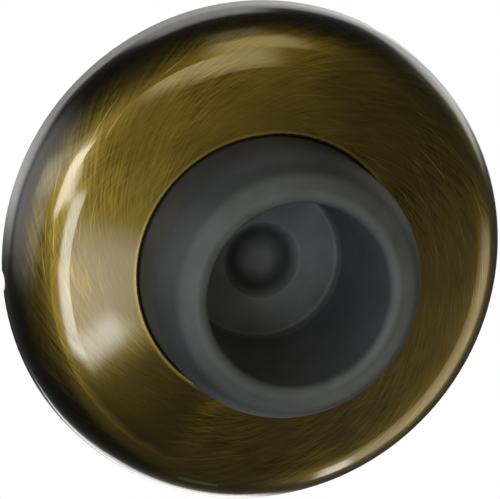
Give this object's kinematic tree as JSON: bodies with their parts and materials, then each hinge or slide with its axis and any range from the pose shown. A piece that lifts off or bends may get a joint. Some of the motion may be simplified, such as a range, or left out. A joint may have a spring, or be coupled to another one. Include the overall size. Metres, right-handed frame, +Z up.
{
  "type": "concave wall bumper",
  "caption": "Round wall door stop: a domed antique brass rose with a rounded shoulder, pressed over a flat steel wall plate, and a thick rubber cup that catches the door knob.",
  "frame": {"origin": "centre of the back plane, where the axis of the bumper meets the wall", "axes": "the wall is the plane Y = 0, the bumper stands out of the wall along -Y, +Z is up and +X is to the right as seen from the room"},
  "size_m": [0.0634, 0.0238, 0.0634],
  "materials": {
    "antique_brass": "brushed and darkened, under clear lacquer",
    "grey_rubber": "matte moulded",
    "plated_steel": "zinc plated"
  },
  "bodies": {
    "root": {"rose": "antique_brass", "bumper": "grey_rubber", "mounting_plate": "plated_steel"}
  },
  "joints": []
}
